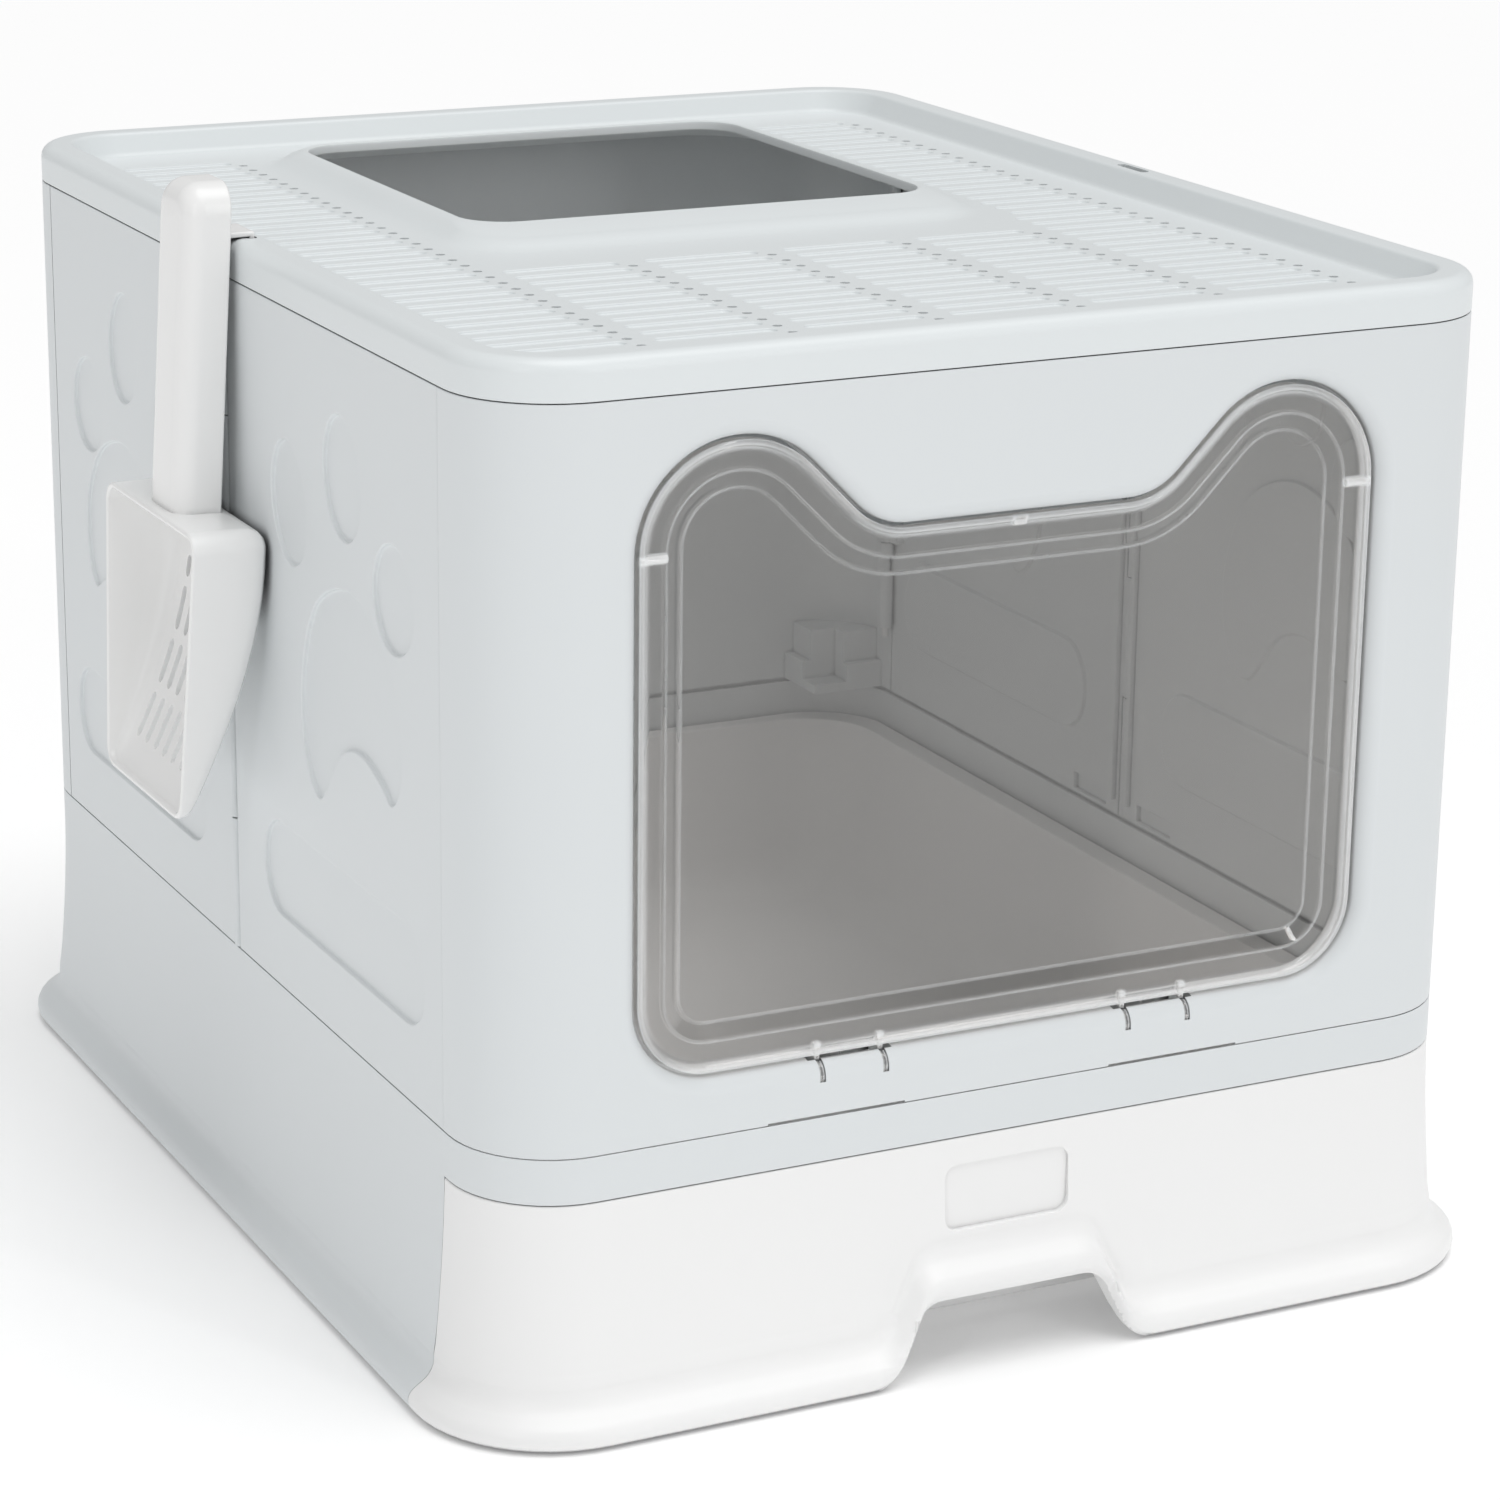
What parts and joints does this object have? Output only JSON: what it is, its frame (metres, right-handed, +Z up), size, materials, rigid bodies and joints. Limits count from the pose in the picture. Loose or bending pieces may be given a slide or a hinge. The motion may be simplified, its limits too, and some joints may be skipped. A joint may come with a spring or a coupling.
{
  "type": "cat litter box with hood",
  "caption": "Hooded cat litter box with fold-in walls, a clear ear-shaped drop-down door, a pull-out tray, a ribbed lid with a top exit, and a scoop on its rim.",
  "frame": {"origin": "on the floor, under the middle of the whole object's box", "axes": "+X to the right and -Y to the front, as seen by someone facing the door; +Z up"},
  "size_m": [0.4332, 0.51, 0.3883],
  "materials": {
    "wall_plastic": "satin moulded polypropylene",
    "drawer_plastic": "satin moulded polypropylene",
    "lid_plastic": "satin moulded polypropylene",
    "hinge_plastic": "smooth",
    "smoky_clear_plastic": "polished, smoky clear",
    "scoop_plastic": "smooth"
  },
  "bodies": {
    "base": {"base_frame": "wall_plastic"},
    "drawer": {"drawer": "drawer_plastic"},
    "ring": {"back_panel": "wall_plastic", "rear_corner_clips": "wall_plastic", "left_rear_pin": "hinge_plastic", "right_rear_pin": "hinge_plastic"},
    "left_rear": {"left_rear_half": "wall_plastic", "left_middle_pin": "hinge_plastic"},
    "left_front": {"left_front_half": "wall_plastic"},
    "front": {"front_panel": "wall_plastic", "front_corner_clips": "wall_plastic", "left_front_pin": "hinge_plastic", "right_front_pin": "hinge_plastic", "door_left_pin": "hinge_plastic", "door_right_pin": "hinge_plastic"},
    "right_rear": {"right_rear_half": "wall_plastic", "right_middle_pin": "hinge_plastic"},
    "right_front": {"right_front_half": "wall_plastic"},
    "door": {"door": "smoky_clear_plastic"},
    "lid": {"lid": "lid_plastic"},
    "scoop": {"scoop": "scoop_plastic"}
  },
  "joints": [
    {"name": "drawer_slide", "type": "slide", "parent": "base", "child": "drawer", "axis": [0, -1, 0], "range_m": [0, 0.4]},
    {"name": "walls_lift", "type": "slide", "parent": "base", "child": "ring", "axis": [0, 0, 1], "range_m": [0, 0.15]},
    {"name": "lid_lift", "type": "slide", "parent": "ring", "child": "lid", "axis": [0, 0, 1], "range_m": [0, 0.15]},
    {"name": "scoop_lift", "type": "slide", "parent": "lid", "child": "scoop", "axis": [0, 0, 1], "range_m": [0, 0.23]},
    {"name": "fold", "type": "hinge", "parent": "ring", "child": "left_rear", "pos_m": [-0.1751, 0.2, 0.23], "axis": [0, 0, 1], "range_deg": [0, 60]},
    {"name": "left_middle_fold", "type": "hinge", "parent": "left_rear", "child": "left_front", "pos_m": [-0.1802, 0, 0.23], "axis": [0, 0, 1], "range_deg": [-120, 0]},
    {"name": "left_front_fold", "type": "hinge", "parent": "left_front", "child": "front", "pos_m": [-0.1751, -0.2, 0.23], "axis": [0, 0, 1], "range_deg": [0, 60]},
    {"name": "right_rear_fold", "type": "hinge", "parent": "ring", "child": "right_rear", "pos_m": [0.1963, 0.2, 0.23], "axis": [0, 0, 1], "range_deg": [-60, 0]},
    {"name": "right_middle_fold", "type": "hinge", "parent": "right_rear", "child": "right_front", "pos_m": [0.2014, 0, 0.23], "axis": [0, 0, 1], "range_deg": [0, 120]},
    {"name": "door_hinge", "type": "hinge", "parent": "front", "child": "door", "pos_m": [0.0106, -0.235, 0.114], "axis": [1, 0, 0], "range_deg": [0, 90]}
  ],
  "couplings": [
    {"joint": "left_middle_fold", "follows": "fold", "ratio": -2},
    {"joint": "left_front_fold", "follows": "fold", "ratio": 1},
    {"joint": "right_rear_fold", "follows": "fold", "ratio": -1},
    {"joint": "right_middle_fold", "follows": "fold", "ratio": 2}
  ]
}
